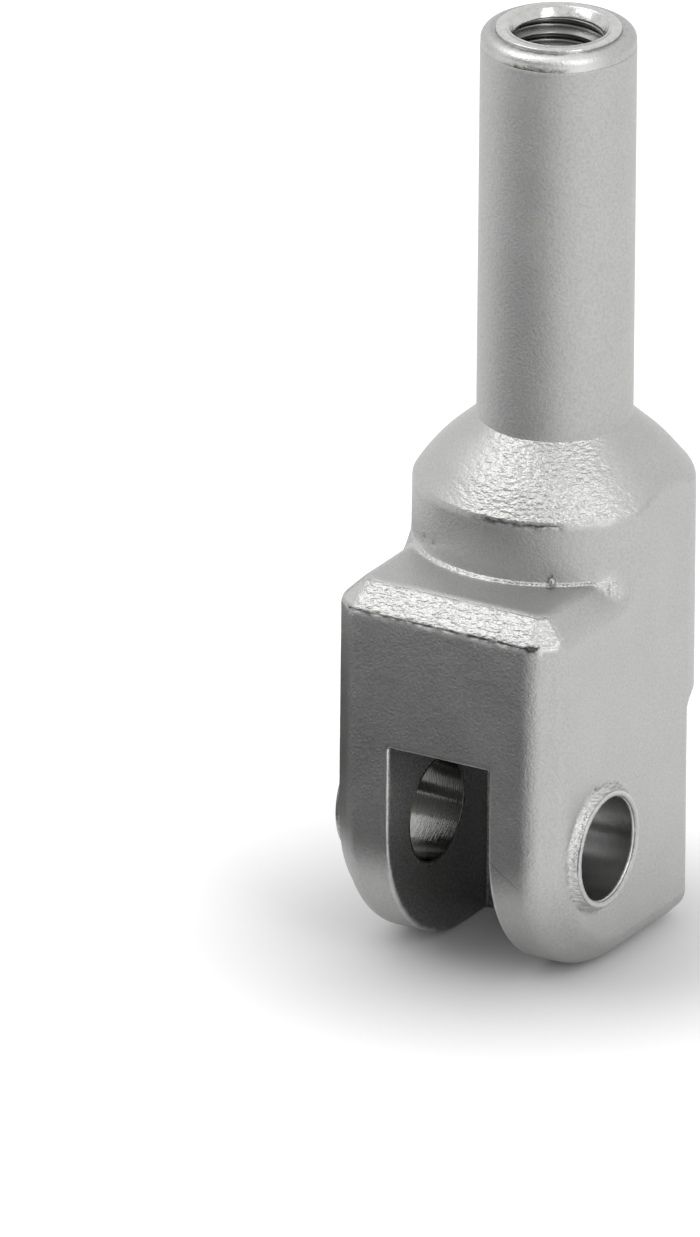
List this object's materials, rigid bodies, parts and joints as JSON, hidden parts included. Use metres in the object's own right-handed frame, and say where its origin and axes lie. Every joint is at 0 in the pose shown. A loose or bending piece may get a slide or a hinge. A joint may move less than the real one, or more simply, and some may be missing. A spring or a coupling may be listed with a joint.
{
  "type": "clevis",
  "caption": "Offset fork under a round shank with a threaded bore in its end; a cross hole with raised rims takes the pin, and a slot takes the tongue.",
  "frame": {"origin": "on the shank's axis, on the flat sole that the clevis stands on", "axes": "+Z along the shank towards its threaded mouth, X along the pin hole, -Y towards the open side of the fork"},
  "size_m": [0.0216, 0.0282, 0.0731],
  "materials": {
    "steel": "satin, blasted casting in stainless steel, with turned and bored faces brighter"
  },
  "bodies": {
    "root": {"clevis": "steel"}
  },
  "joints": []
}
